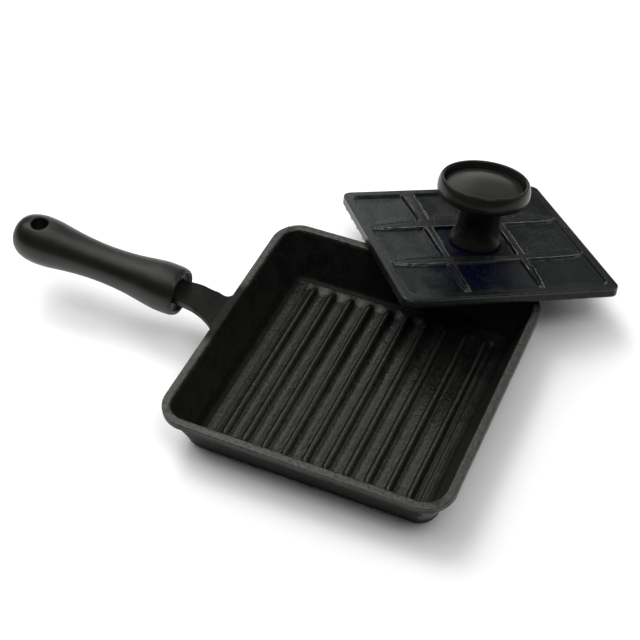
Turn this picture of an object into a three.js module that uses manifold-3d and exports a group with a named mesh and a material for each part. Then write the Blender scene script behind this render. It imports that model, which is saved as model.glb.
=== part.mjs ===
// Square cast-iron grill pan with its loose ribbed press plate.
// The press stands the way it is put down beside the food: its underside leans
// over the far rim of the pan and one corner touches the table.
//
// Frame: millimetres, +Z up. The origin is the centre of the pan's underside,
// on the table. The handle points to -X and the far rim is at +Y.

import * as THREE from 'three';
import { mergeVertices } from 'three/addons/utils/BufferGeometryUtils.js';
import Module from 'manifold-3d';

const wasm = await Module();
wasm.setup();

// ---------------------------------------------------------------- dimensions

const GAP = 0.3;                 // air left between pieces that touch

// pan casting
const PAN_H = 28.0;              // table to rim top
const RIM_HALF = 75.0;           // half the rim's outer width
const RIM_R = 15.2;              // rim corner radius
const RIM_EDGE = 0.7;            // softening of the rim's edges
const LIP_H = 3.7;               // height of the rim's outer lip
const WALL_TOP_HALF = 72.5;      // outer wall, just under the lip
const WALL_FOOT_HALF = 66.0;     // outer wall, at the top of the foot radius
const FOOT_R = 4.5;              // radius between wall and base
const MOUTH_HALF = 70.9;         // cavity at the rim
const FLOOR_HALF = 61.6;         // cavity at the top of the floor fillet
const FLOOR_Z = 2.8;             // top of the floor between the ribs
const FLOOR_FILLET = 3.0;
const MOUTH_R = 11.2;            // cavity corner radius at the rim
const FLOOR_R = 6.0;             // cavity corner radius at the floor

// searing ribs on the pan floor
const RIBS = 10;
const RIB_PITCH = 10.9;
const RIB_W = 3.8;
const RIB_H = 1.9;
const RIB_HALF_LEN = 54.5;

// handle: tang cast with the pan, moulded grip slid over it
const HANDLE_X = -75.0;          // where the handle axis crosses the rim line
const HANDLE_Z = 30.0;
const HANDLE_RISE = THREE.MathUtils.degToRad(5.06);
const TANG_W = 14.2;
const TANG_T = 5.2;
const TANG_END = 60.0;           // along the handle axis, from the rim line
const GRIP_START = 22.6;         // mouth of the grip, along the handle axis
// distance from the mouth and radius, along the grip's outside
const GRIP_PROFILE = [
  [0, 11.7], [1.2, 12.6], [3.0, 12.9], [8, 13.1], [12, 13.0], [18, 12.25], [24, 11.35],
  [31, 10.5], [38, 10.05], [45, 9.9], [52, 10.05], [60, 10.65], [68, 11.65], [75, 12.65],
  [80, 13.05], [84, 13.05], [88, 12.55], [92, 11.25], [95, 9.2], [97, 6.4], [97.9, 3.2],
];
const GRIP_LEN = 98.2;
const MOUTH_BORE_R = 9.9;        // recess in the grip's mouth
const MOUTH_BORE_D = 2.6;
const HANG_AT = 83.2;            // hang hole, from the mouth
const HANG_R = 4.5;
const HANG_FLARE = 1.5;
const GRIP_SCREW_AT = 22.0;      // fixing screw, from the mouth
const SCREW_R = 2.45;            // both screws, shank
const SCREW_HEAD_R = 4.4;

// press plate: flat casting with a border, nine shallow panels and ribs below
const PLATE_HALF = 58.45;
const PLATE_R = 5.0;
const PLATE_T = 5.2;
const PLATE_EDGE = 0.5;
const PANEL_HALF = 53.9;
const PANEL_R = 2.4;
const PANEL_D = 1.6;
const GRID_IN = 17.2;            // inner edge of the panel ribs
const GRID_OUT_MID = 23.6;       // outer edge, at the middle of the plate
const GRID_OUT_END = 20.2;       // outer edge, at the border
const SEAR_H = 1.6;              // searing ribs under the plate
const SEAR_W = 4.0;
const SEAR_PITCH = 11.0;
const SEAR_HALF_LEN = 58.0;
const BOSS_R = 8.5;              // thread boss under the plate
const THREAD_D = 6.0;

// press knob
const KNOB_PROFILE = [
  [13.2, -1.3], [14.0, -0.7], [14.15, 0.1], [13.7, 1.6], [12.7, 3.6], [11.9, 6.0], [11.3, 9], [11.0, 13], [11.1, 17],
  [11.9, 20], [14.0, 22.0], [18.0, 23.4], [21.8, 24.5], [23.8, 26.0], [24.6, 28.6], [24.5, 31.2], [23.9, 33.4],
  [23.2, 34.7], [22.5, 35.2], [21.8, 34.9], [21.3, 34.0],
];
const DISH_R = 21.0;             // recess in the knob's top, for the cap
const DISH_Z = 30.0;
const KNOB_BORE_R = 2.8;
const KNOB_COUNTER_R = 6.4;      // counterbore for the screw head
const KNOB_COUNTER_Z = 17.0;
const CAP_PROFILE = [[20.5, 30.3], [20.5, 31.2], [19.8, 31.7], [16.5, 32.5], [12.5, 33.3], [7.5, 34.0], [3, 34.35]];

// how the press rests: turned about Z, tipped about X, placed by the centre of
// its top face
const PRESS_TURN = THREE.MathUtils.degToRad(38.35);
const PRESS_TIP = THREE.MathUtils.degToRad(-16.4);
const PRESS_AT = [25.79, 100.95, 27.56];

// ------------------------------------------------------------------ helpers

// closed surface -> solid
function solid(geometry) {
  let g = geometry.index ? geometry.toNonIndexed() : geometry.clone();
  g.deleteAttribute('normal');
  g.deleteAttribute('uv');
  g = mergeVertices(g, 1e-4);
  const index = g.index.array;
  const keep = [];
  for (let i = 0; i < index.length; i += 3) {
    const [a, b, c] = [index[i], index[i + 1], index[i + 2]];
    if (a !== b && b !== c && c !== a) keep.push(a, b, c);
  }
  return new wasm.Manifold(new wasm.Mesh({
    numProp: 3,
    vertProperties: Float32Array.from(g.attributes.position.array),
    triVerts: Uint32Array.from(keep),
  }));
}

// solid -> surface
function shell(body) {
  const m = body.getMesh();
  const pos = new Float32Array(m.numVert * 3);
  for (let i = 0; i < m.numVert; i++) {
    for (let k = 0; k < 3; k++) pos[3 * i + k] = m.vertProperties[m.numProp * i + k];
  }
  const g = new THREE.BufferGeometry();
  g.setAttribute('position', new THREE.BufferAttribute(pos, 3));
  g.setIndex(Array.from(m.triVerts));
  g.computeVertexNormals();
  return g;
}

function roundedSquare(half, r) {
  const s = new THREE.Shape();
  const c = half - r;
  s.moveTo(half, -c);
  s.lineTo(half, c);
  s.absarc(c, c, r, 0, Math.PI / 2);
  s.lineTo(-c, half);
  s.absarc(-c, c, r, Math.PI / 2, Math.PI);
  s.lineTo(-half, -c);
  s.absarc(-c, -c, r, Math.PI, 1.5 * Math.PI);
  s.lineTo(c, -half);
  s.absarc(c, -c, r, 1.5 * Math.PI, 2 * Math.PI);
  return s;
}

// stack of rounded squares: levels are [z, half width, corner radius]
function squareStack(levels, segments = 5) {
  const h0 = 50, r0 = 10;
  const g = new THREE.ExtrudeGeometry(roundedSquare(h0, r0), {
    depth: levels.length - 1, steps: levels.length - 1, bevelEnabled: false, curveSegments: segments,
  });
  const p = g.attributes.position;
  for (let i = 0; i < p.count; i++) {
    const [z, half, r] = levels[Math.round(p.getZ(i))];
    const sx = Math.sign(p.getX(i)), sy = Math.sign(p.getY(i));
    const dx = (p.getX(i) - sx * (h0 - r0)) / r0, dy = (p.getY(i) - sy * (h0 - r0)) / r0;
    p.setXYZ(i, sx * (half - r) + dx * r, sy * (half - r) + dy * r, z);
  }
  return solid(g);
}

// closed outline in x,y, extruded from z0 to z1
function slab(points, z0, z1) {
  const s = new THREE.Shape(points.map(([x, y]) => new THREE.Vector2(x, y)));
  const g = new THREE.ExtrudeGeometry(s, { depth: z1 - z0, bevelEnabled: false });
  g.translate(0, 0, z0);
  return g;
}

// turned body about Z: profile of [r, z] that starts and ends on the axis
function turned(profile, segments = 32) {
  const pts = profile.map(([r, z]) => new THREE.Vector2(r, z));
  const g = orient(new THREE.LatheGeometry(pts, segments));
  g.rotateX(Math.PI / 2);                              // the lathe turns about Y
  return solid(g);
}

// lathes come out inward or outward by the direction of their profile
function orient(g) {
  const p = g.attributes.position, ix = g.index.array;
  let v = 0;
  const a = new THREE.Vector3(), b = new THREE.Vector3(), c = new THREE.Vector3();
  for (let i = 0; i < ix.length; i += 3) {
    a.fromBufferAttribute(p, ix[i]); b.fromBufferAttribute(p, ix[i + 1]); c.fromBufferAttribute(p, ix[i + 2]);
    v += a.dot(b.cross(c));
  }
  if (v < 0) for (let i = 0; i < ix.length; i += 3) [ix[i], ix[i + 1]] = [ix[i + 1], ix[i]];
  return g;
}

function rod(r, z0, z1, segments = 24) {
  return turned([[0, z0], [r, z0], [r, z1], [0, z1]], segments);
}

function box(x0, x1, y0, y1, z0, z1) {
  const g = new THREE.BoxGeometry(x1 - x0, y1 - y0, z1 - z0);
  g.translate((x0 + x1) / 2, (y0 + y1) / 2, (z0 + z1) / 2);
  return solid(g);
}

// round-topped bar along Y, standing on z = 0, with sloped ends
function bar(width, height, halfLength) {
  const w = width / 2;
  const section = [[-w, -1], [w, -1], [w * 0.98, 0], [w * 0.86, height * 0.55], [w * 0.5, height * 0.92], [0, height],
    [-w * 0.5, height * 0.92], [-w * 0.86, height * 0.55], [-w * 0.98, 0]];
  const g = slab(section, -1, 1);
  const p = g.attributes.position;
  for (let i = 0; i < p.count; i++) {
    const x = p.getX(i), y = p.getY(i), end = Math.sign(p.getZ(i));
    p.setXYZ(i, x, -end * (halfLength - Math.max(0, y) * 0.8), y);
  }
  return solid(g);
}

// ---------------------------------------------------------------------- pan

const lean = (z) => THREE.MathUtils.mapLinear(z, FOOT_R, PAN_H - LIP_H, WALL_FOOT_HALF, WALL_TOP_HALF);
const cut = (z) => THREE.MathUtils.mapLinear(z, FLOOR_Z + FLOOR_FILLET, PAN_H, FLOOR_HALF, MOUTH_HALF);

const panOuter = squareStack([
  [0, WALL_FOOT_HALF - FOOT_R, 5.6],
  [FOOT_R * 0.12, WALL_FOOT_HALF - FOOT_R * 0.60, 7.2],
  [FOOT_R * 0.40, WALL_FOOT_HALF - FOOT_R * 0.26, 8.5],
  [FOOT_R, WALL_FOOT_HALF, 9.6],
  [PAN_H - LIP_H, WALL_TOP_HALF, 12.8],
  [PAN_H - LIP_H, RIM_HALF - RIM_EDGE, 14.5],
  [PAN_H - LIP_H + RIM_EDGE, RIM_HALF, RIM_R],
  [PAN_H - RIM_EDGE, RIM_HALF, RIM_R],
  [PAN_H, RIM_HALF - RIM_EDGE, RIM_R - RIM_EDGE],
]);

const cavity = squareStack([
  [FLOOR_Z, FLOOR_HALF - FLOOR_FILLET, FLOOR_R - 2.6],
  [FLOOR_Z + 0.4, FLOOR_HALF - FLOOR_FILLET * 0.5, FLOOR_R - 1.2],
  [FLOOR_Z + 1.5, FLOOR_HALF - FLOOR_FILLET * 0.14, FLOOR_R - 0.3],
  [FLOOR_Z + FLOOR_FILLET, FLOOR_HALF, FLOOR_R],
  [PAN_H - 1.0, cut(PAN_H - 1.0) - 0.3, MOUTH_R - 0.4],
  [PAN_H, MOUTH_HALF + 0.5, MOUTH_R + 0.5],
  [PAN_H + 4, MOUTH_HALF + 0.5, MOUTH_R + 0.5],
]);

// handle axis helpers: points along the axis, in the pan's frame
const HANDLE_DIR = new THREE.Vector3(-Math.cos(HANDLE_RISE), 0, Math.sin(HANDLE_RISE));
const HANDLE_UP = new THREE.Vector3(Math.sin(HANDLE_RISE), 0, Math.cos(HANDLE_RISE));
const onAxis = (t, up = 0) => [
  HANDLE_X + HANDLE_DIR.x * t + HANDLE_UP.x * up,
  HANDLE_Z + HANDLE_DIR.z * t + HANDLE_UP.z * up,
];

// side view of the tang: flush with the rim, rising in a gentle curve onto the
// handle axis, then straight inside the grip
const tangMid = [[-68.5, 24.9], [-75, 25.4], [-79, 26.5], [-84, 28.4], [-89.5, 30.4], onAxis(GRIP_START), onAxis(TANG_END)];
function tangSide() {
  const up = [], down = [];
  tangMid.forEach(([x, z], i) => {
    const a = tangMid[Math.max(0, i - 1)], b = tangMid[Math.min(tangMid.length - 1, i + 1)];
    const d = new THREE.Vector2(b[0] - a[0], b[1] - a[1]).normalize();
    const n = new THREE.Vector2(d.y, -d.x);            // to the upper side
    up.push([x + n.x * TANG_T / 2, z + n.y * TANG_T / 2]);
    down.push([x - n.x * TANG_T / 2, z - n.y * TANG_T / 2]);
  });
  const outline = [...up, ...down.reverse()];
  const g = slab(outline.map(([x, z]) => [x, z]), -30, 30);
  g.rotateX(Math.PI / 2);                              // outline's second axis becomes +Z
  return solid(g);
}
// top view of the tang: parallel bar that flares into the rim
const tangEndX = onAxis(TANG_END)[0];
const flare = [[tangEndX, 6.2], [tangEndX + 1.2, TANG_W / 2], [-89, TANG_W / 2], [-85.2, TANG_W / 2 + 0.27], [-82, TANG_W / 2 + 1.04],
  [-79, TANG_W / 2 + 2.35], [-77, TANG_W / 2 + 3.8], [-75.6, TANG_W / 2 + 5.6], [-75, TANG_W / 2 + 7.2], [-74.6, TANG_W / 2 + 9.0], [-69, TANG_W / 2 + 9.0]];
const tangTop = solid(slab([...flare.map(([x, y]) => [x, -y]), ...flare.slice().reverse().map(([x, y]) => [x, y])], 0, 60));
const tang = tangSide().intersect(tangTop);

const screwAxisAt = GRIP_START + GRIP_SCREW_AT;        // along the handle axis
const [screwX, screwZ] = onAxis(screwAxisAt);

function placedRod(r, up0, up1, segments) {
  // rod across the tang, along the handle's own up direction
  const q = new THREE.Matrix4().makeBasis(
    HANDLE_DIR.clone(), new THREE.Vector3(0, -1, 0), HANDLE_UP.clone());
  q.setPosition(screwX, 0, screwZ);
  const g = new THREE.CylinderGeometry(r, r, up1 - up0, segments);
  g.rotateX(Math.PI / 2);
  g.translate(0, 0, (up0 + up1) / 2);
  g.applyMatrix4(q);
  return solid(g);
}

let pan = panOuter.add(tang).subtract(cavity);
for (let i = 0; i < RIBS; i++) {
  const x = (i - (RIBS - 1) / 2) * RIB_PITCH;
  pan = pan.add(bar(RIB_W, RIB_H, RIB_HALF_LEN).translate([x, 0, FLOOR_Z]));
}
pan = pan.subtract(placedRod(SCREW_R + GAP, -6, 6, 20));

// -------------------------------------------------------------- handle grip
// own frame: +X along the handle away from the pan, +Z up, mouth at x = 0

const lay = (body) => body.rotate([0, 90, 0]);          // Z axis of a turned body -> +X

let grip = lay(turned([[0, 0], ...GRIP_PROFILE.map(([x, r]) => [r, x]), [0, GRIP_LEN]], 28));
grip = grip.subtract(lay(turned([[0, -1], [MOUTH_BORE_R + 0.5, -1], [MOUTH_BORE_R, 0.6], [MOUTH_BORE_R, MOUTH_BORE_D], [0, MOUTH_BORE_D]], 28)));
grip = grip.subtract(box(-1, TANG_END - GRIP_START + GAP, -TANG_W / 2 - GAP, TANG_W / 2 + GAP, -TANG_T / 2 - GAP, TANG_T / 2 + GAP));
grip = grip.subtract(turned([
  [0, -20], [HANG_R + 4.5, -20], [HANG_R + HANG_FLARE, -12.4], [HANG_R + 0.5, -10.9], [HANG_R, -9],
  [HANG_R, 9], [HANG_R + 0.5, 10.9], [HANG_R + HANG_FLARE, 12.4], [HANG_R + 4.5, 20], [0, 20],
], 24).translate([HANG_AT, 0, 0]));
const seatZ = -7.4;                                     // screw head seat, under the tang
grip = grip.subtract(rod(SCREW_R + GAP, -20, 0, 20).translate([GRIP_SCREW_AT, 0, 0]));
grip = grip.subtract(rod(SCREW_HEAD_R + 0.8, -20, seatZ, 24).translate([GRIP_SCREW_AT, 0, 0]));

// pan-head screw, up through the grip into the tang; hexagon socket in the head
function screwBody(seat, tip, headH) {
  let s = turned([
    [0, seat - headH], [SCREW_HEAD_R - 1.1, seat - headH], [SCREW_HEAD_R - 0.2, seat - headH * 0.55], [SCREW_HEAD_R, seat],
    [SCREW_R, seat], [SCREW_R, tip - 0.6], [SCREW_R - 0.6, tip], [0, tip],
  ], 20);
  return s.subtract(rod(1.75, seat - headH - 1, seat - headH + 1.4, 6));
}
const washerT = 1.0;
const handleScrew = screwBody(seatZ - washerT - 2 * GAP, TANG_T / 2 - 0.2, 2.0).translate([GRIP_SCREW_AT, 0, 0]);

// split spring washer
function springWasher(rIn, rOut, z0, z1) {
  const ring = turnedRing(rIn, rOut, z0, z1, 24);
  return ring.subtract(box(0, rOut + 2, -0.45, 0.45, z0 - 1, z1 + 1));
}
function turnedRing(rIn, rOut, z0, z1, segments) {
  return rod(rOut, z0, z1, segments).subtract(rod(rIn, z0 - 1, z1 + 1, segments));
}
const handleWasher = springWasher(SCREW_R + GAP, SCREW_HEAD_R, seatZ - washerT - GAP, seatZ - GAP)
  .translate([GRIP_SCREW_AT, 0, 0]);

// -------------------------------------------------------------- press plate
// own frame: centre of the top face, +Z up out of it

let plate = squareStack([
  [-PLATE_T, PLATE_HALF - 0.3, PLATE_R - 0.3],
  [-PLATE_T + 0.5, PLATE_HALF, PLATE_R],
  [-PLATE_EDGE, PLATE_HALF, PLATE_R],
  [0, PLATE_HALF - PLATE_EDGE, PLATE_R - PLATE_EDGE],
]);
plate = plate.subtract(squareStack([
  [-PANEL_D, PANEL_HALF - 0.7, PANEL_R - 0.7],
  [0, PANEL_HALF, PANEL_R],
  [2, PANEL_HALF, PANEL_R],
], 3));
const gridRib = [
  [-PANEL_HALF - 1, GRID_OUT_END - 2.2], [-PANEL_HALF - 1, GRID_OUT_END], [-PANEL_HALF * 0.5, (GRID_OUT_MID * 2 + GRID_OUT_END) / 3], [0, GRID_OUT_MID],
  [PANEL_HALF * 0.5, (GRID_OUT_MID * 2 + GRID_OUT_END) / 3], [PANEL_HALF + 1, GRID_OUT_END], [PANEL_HALF + 1, GRID_OUT_END - 2.2],
  [PANEL_HALF * 0.5, GRID_IN], [-PANEL_HALF * 0.5, GRID_IN],
];
for (const turn of [0, 90, 180, 270]) {
  plate = plate.add(solid(slab(gridRib.slice().reverse(), -PANEL_D - 0.5, -0.3)).rotate([0, 0, turn]));
}
for (let i = 0; i < 10; i++) {
  const y = (i - 4.5) * SEAR_PITCH;
  plate = plate.add(
    bar(SEAR_W, SEAR_H, SEAR_HALF_LEN).rotate([0, 180, 90]).translate([0, y, -PLATE_T]));
}
plate = plate.add(rod(BOSS_R, -PLATE_T - SEAR_H, -PLATE_T + 1, 28));
plate = plate.subtract(rod(SCREW_R + GAP, -THREAD_D, 5, 20));

// --------------------------------------------------------------- press knob
// same frame as the plate

let knob = turned([[0, -PANEL_D + GAP], ...KNOB_PROFILE, [0, 34.0]], 44);
knob = knob.subtract(turned([[0, DISH_Z], [DISH_R, DISH_Z], [DISH_R, 40], [0, 40]], 44));
knob = knob.subtract(rod(KNOB_COUNTER_R, KNOB_COUNTER_Z, 40, 28));
knob = knob.subtract(rod(KNOB_BORE_R, -5, 40, 20));

const cap = turned([[0, 30.3], ...CAP_PROFILE, [0, 34.45]], 44);
const washer = turnedRing(KNOB_BORE_R, 5.8, KNOB_COUNTER_Z + GAP, KNOB_COUNTER_Z + GAP + 1.0, 24);
const lock = springWasher(KNOB_BORE_R, SCREW_HEAD_R, KNOB_COUNTER_Z + 1.3 + GAP, KNOB_COUNTER_Z + 2.4 + GAP);
const knobSeat = KNOB_COUNTER_Z + 2.7 + 2 * GAP;
const knobScrew = screwBody(-knobSeat, THREAD_D - 0.4, 3.2).rotate([180, 0, 0]);

// -------------------------------------------------------------------- scene

function finish(color, roughness, metalness) {
  return new THREE.MeshStandardMaterial({ color, roughness, metalness });
}
function part(name, body, material) {
  const mesh = new THREE.Mesh(shell(body), material);
  mesh.name = name;
  return mesh;
}

const object = new THREE.Group();
object.add(part('pan', pan, finish(0x242524, 0.62, 0.35)));

const handle = new THREE.Group();
handle.quaternion.setFromRotationMatrix(new THREE.Matrix4().makeBasis(
  HANDLE_DIR.clone(), new THREE.Vector3(0, -1, 0), HANDLE_UP.clone()));
const mouth = onAxis(GRIP_START);
handle.position.set(mouth[0], 0, mouth[1]);
handle.add(part('handle_grip', grip, finish(0x1e1f1e, 0.48, 0.0)));
handle.add(part('handle_screw', handleScrew, finish(0x9a9c9d, 0.35, 0.9)));
handle.add(part('handle_spring_washer', handleWasher, finish(0x8d8f90, 0.4, 0.9)));
object.add(handle);

const press = new THREE.Group();
press.position.set(...PRESS_AT);
press.rotation.set(PRESS_TIP, 0, PRESS_TURN, 'XYZ');
press.add(part('press_plate', plate, finish(0x262a29, 0.5, 0.4)));
press.add(part('knob_body', knob, finish(0x1a1a19, 0.4, 0.0)));
press.add(part('knob_cap', cap, finish(0x2b2c2a, 0.42, 0.0)));
press.add(part('knob_washer', washer, finish(0x9a9c9d, 0.35, 0.9)));
press.add(part('knob_spring_washer', lock, finish(0x8d8f90, 0.4, 0.9)));
press.add(part('knob_screw', knobScrew, finish(0x9a9c9d, 0.35, 0.9)));
object.add(press);

export default object;
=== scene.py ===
import math

import bpy
import numpy as np
from mathutils import Matrix, Vector


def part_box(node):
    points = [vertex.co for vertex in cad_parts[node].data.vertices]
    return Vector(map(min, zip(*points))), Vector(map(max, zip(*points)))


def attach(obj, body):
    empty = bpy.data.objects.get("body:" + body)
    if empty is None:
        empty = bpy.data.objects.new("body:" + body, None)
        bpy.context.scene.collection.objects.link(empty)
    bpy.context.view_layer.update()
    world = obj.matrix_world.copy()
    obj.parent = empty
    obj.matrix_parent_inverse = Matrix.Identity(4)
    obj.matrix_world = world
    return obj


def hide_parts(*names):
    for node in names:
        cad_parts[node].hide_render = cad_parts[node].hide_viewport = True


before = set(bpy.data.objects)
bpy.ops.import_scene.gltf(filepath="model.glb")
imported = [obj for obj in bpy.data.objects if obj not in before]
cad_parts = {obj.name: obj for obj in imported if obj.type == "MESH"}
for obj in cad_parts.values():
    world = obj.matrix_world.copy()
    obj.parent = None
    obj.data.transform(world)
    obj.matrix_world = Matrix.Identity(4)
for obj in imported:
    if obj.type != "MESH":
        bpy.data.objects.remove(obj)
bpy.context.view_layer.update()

MM = 0.001

# ------------------------------------------------------------------ helpers


def smooth(t):
    t = np.clip(t, 0.0, 1.0)
    return t * t * (3.0 - 2.0 * t)


def lerp(a, b, t):
    return a + (b - a) * t


def curve(points, per=8):
    """Catmull-Rom line through 2D points, per pieces for each span."""
    p = np.array(points, float)
    ext = np.vstack([2 * p[0] - p[1], p, 2 * p[-1] - p[-2]])
    out = [p[0]]
    for i in range(1, len(p)):
        p0, p1, p2, p3 = ext[i - 1], ext[i], ext[i + 1], ext[i + 2]
        t0 = 0.0
        t1 = t0 + max(1e-6, np.linalg.norm(p1 - p0)) ** 0.5
        t2 = t1 + max(1e-6, np.linalg.norm(p2 - p1)) ** 0.5
        t3 = t2 + max(1e-6, np.linalg.norm(p3 - p2)) ** 0.5
        for k in range(1, per + 1):
            t = lerp(t1, t2, k / per)
            a1 = p0 * (t1 - t) / (t1 - t0) + p1 * (t - t0) / (t1 - t0)
            a2 = p1 * (t2 - t) / (t2 - t1) + p2 * (t - t1) / (t2 - t1)
            a3 = p2 * (t3 - t) / (t3 - t2) + p3 * (t - t2) / (t3 - t2)
            b1 = a1 * (t2 - t) / (t2 - t0) + a2 * (t - t0) / (t2 - t0)
            b2 = a2 * (t3 - t) / (t3 - t1) + a3 * (t - t1) / (t3 - t1)
            out.append(b1 * (t2 - t) / (t2 - t1) + b2 * (t - t1) / (t2 - t1))
    return np.array(out)


def arc(cx, cy, r, a0, a1, n):
    """n + 1 points on an arc, angles in degrees."""
    a = np.radians(np.linspace(a0, a1, n + 1))
    return np.stack([cx + r * np.cos(a), cy + r * np.sin(a)], 1)


def mesh_object(name, verts, quads=(), tris=(), ngons=(), place=None):
    """verts in millimetres in the piece's own frame; place moves them to the row frame."""
    v = np.asarray(verts, float)
    if place is not None:
        v = v @ place[:3, :3].T + place[:3, 3]
    v = v * MM
    me = bpy.data.meshes.new(name)
    groups = [(np.asarray(quads, int).reshape(-1, 4), 4), (np.asarray(tris, int).reshape(-1, 3), 3)]
    loops = np.concatenate([g.ravel() for g, _ in groups] + [np.array(n, int) for n in ngons]).astype(np.int32)
    sizes = np.concatenate([np.full(len(g), k) for g, k in groups] + [np.array([len(n)]) for n in ngons]).astype(np.int32)
    starts = np.concatenate([[0], np.cumsum(sizes)[:-1]]).astype(np.int32)
    me.vertices.add(len(v))
    me.vertices.foreach_set("co", v.astype(np.float32).ravel())
    me.loops.add(len(loops))
    me.loops.foreach_set("vertex_index", loops)
    me.polygons.add(len(sizes))
    me.polygons.foreach_set("loop_start", starts)
    me.update(calc_edges=True)
    me.validate()
    ob = bpy.data.objects.new(name, me)
    bpy.context.scene.collection.objects.link(ob)
    return ob


def coords(ob):
    co = np.zeros(len(ob.data.vertices) * 3, np.float32)
    ob.data.vertices.foreach_get("co", co)
    return co.reshape(-1, 3).astype(float)


def volume(ob):
    ob.data.calc_loop_triangles()
    n = len(ob.data.loop_triangles)
    idx = np.zeros(n * 3, np.int32)
    ob.data.loop_triangles.foreach_get("vertices", idx)
    c = coords(ob)[idx.reshape(-1, 3)]
    return float(np.einsum("ij,ij->i", c[:, 0], np.cross(c[:, 1], c[:, 2])).sum() / 6)


def outward(ob):
    if volume(ob) < 0:
        ob.data.flip_normals()
    return ob


def combine(ob, other, how):
    """Boolean of ob with other; other is used up."""
    outward(ob)
    outward(other)
    m = ob.modifiers.new("combine", "BOOLEAN")
    m.operation = how
    m.object = other
    try:
        m.solver = "MANIFOLD"
    except TypeError:
        m.solver = "EXACT"
    dg = bpy.context.evaluated_depsgraph_get()
    me = bpy.data.meshes.new_from_object(ob.evaluated_get(dg), depsgraph=dg)
    if len(me.polygons) < 100:
        m.solver = "EXACT"
        dg = bpy.context.evaluated_depsgraph_get()
        me = bpy.data.meshes.new_from_object(ob.evaluated_get(dg), depsgraph=dg)
    ob.modifiers.clear()
    ob.data = me
    bpy.data.objects.remove(other)
    return ob


def shade(ob, angle=38.0):
    """Smooth shading, with edges sharper than angle kept sharp."""
    me = ob.data
    me.polygons.foreach_set("use_smooth", np.ones(len(me.polygons), bool))
    me.update()
    me.set_sharp_from_angle(angle=math.radians(angle))
    return ob


def attribute(ob, name, values):
    a = ob.data.attributes.get(name) or ob.data.attributes.new(name, "FLOAT", "POINT")
    a.data.foreach_set("value", np.clip(values, 0, 1).astype(np.float32))


def uneven(p, size, seed=0.0):
    """Smooth hand-made unevenness, about -1 to 1, of sums of fixed waves; p in millimetres."""
    out = np.zeros(len(p))
    k = 2 * math.pi / size
    dirs = [(1, 0.3, 0.2), (-0.4, 1, 0.5), (0.6, -0.7, 0.8), (0.2, 0.9, -0.6), (-0.9, -0.2, 0.4)]
    for i, d in enumerate(dirs):
        d = np.array(d) / np.linalg.norm(d)
        out += np.sin(p @ d * k * (1 + 0.37 * i) + seed * (i + 1) + 1.7 * i) / len(dirs)
    return out * 1.4


def grit(p, size, seed=0):
    """Sand-mould grit, -1 to 1: smoothed values on a fixed lattice; p and size in millimetres."""
    q = p / size + 17.31 * (seed + 1)
    i = np.floor(q).astype(np.int64)
    f = q - i
    f = f * f * (3 - 2 * f)

    def at(dx, dy, dz):
        n = ((i[:, 0] + dx) * 374761393 + (i[:, 1] + dy) * 668265263 + (i[:, 2] + dz) * 362437 + seed * 974711) & 0xFFFFFFFF
        n = ((n ^ (n >> 13)) * 1274126177) & 0xFFFFFFFF
        return ((n ^ (n >> 16)) & 0xFFFF) / 32767.5 - 1.0

    out = np.zeros(len(p))
    for dx in (0, 1):
        for dy in (0, 1):
            for dz in (0, 1):
                w = (f[:, 0] if dx else 1 - f[:, 0]) * (f[:, 1] if dy else 1 - f[:, 1]) * (f[:, 2] if dz else 1 - f[:, 2])
                out += w * at(dx, dy, dz)
    return out


# rounded squares: every ring has the same point for the same grid line


def side(s, s0, half, r):
    """Along and out, for positions s from -1 to 1 on a side whose ends are half corner arcs."""
    a = np.abs(s)
    phi = np.clip((a - s0) / (1 - s0), 0, 1) * math.pi / 4
    along = np.where(a <= s0, a / s0 * (half - r), (half - r) + r * np.sin(phi)) * np.sign(s)
    out = np.where(a <= s0, half, (half - r) + r * np.cos(phi))
    return along, out


def ring(S, T, s0, half, r, z):
    ax, ox = side(S, s0, half, r)
    ay, oy = side(T, s0, half, r)
    pts = [np.stack([ax, -ox], 1)[:-1], np.stack([oy, ay], 1)[:-1],
           np.stack([ax[::-1], ox], 1)[:-1], np.stack([-oy, ay[::-1]], 1)[:-1]]
    p = np.vstack(pts)
    return np.column_stack([p, np.full(len(p), z)])


def sheet_grid(S, T, s0, half, r, height):
    """Grid of points that fills the rounded square, with heights from height(x, y)."""
    ax, ox = side(S, s0, half, r)
    ay, oy = side(T, s0, half, r)
    c = (half - r) + r * math.cos(math.pi / 4)
    X = ax[:, None] + S[:, None] * (oy[None, :] - c)
    Y = ay[None, :] + T[None, :] * (ox[:, None] - c)
    Z = height(X, Y)
    return np.stack([X, Y, Z], -1)


def sheet_border(nx, ny):
    """Indices of a grid's border in the order of ring()."""
    at = lambda i, j: i * ny + j
    return ([at(i, 0) for i in range(nx - 1)] + [at(nx - 1, j) for j in range(ny - 1)]
            + [at(i, ny - 1) for i in range(nx - 1, 0, -1)] + [at(0, j) for j in range(ny - 1, 0, -1)])


def lines(marks, half):
    """Symmetric grid positions in millimetres: marks are (from, to, spacing) on the positive side."""
    out = [0.0]
    for a, b, h in marks:
        n = max(1, int(round((b - a) / h)))
        out += list(np.linspace(a, b, n + 1)[1:])
    out = np.array(out)
    return np.concatenate([-out[:0:-1], out])


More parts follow.
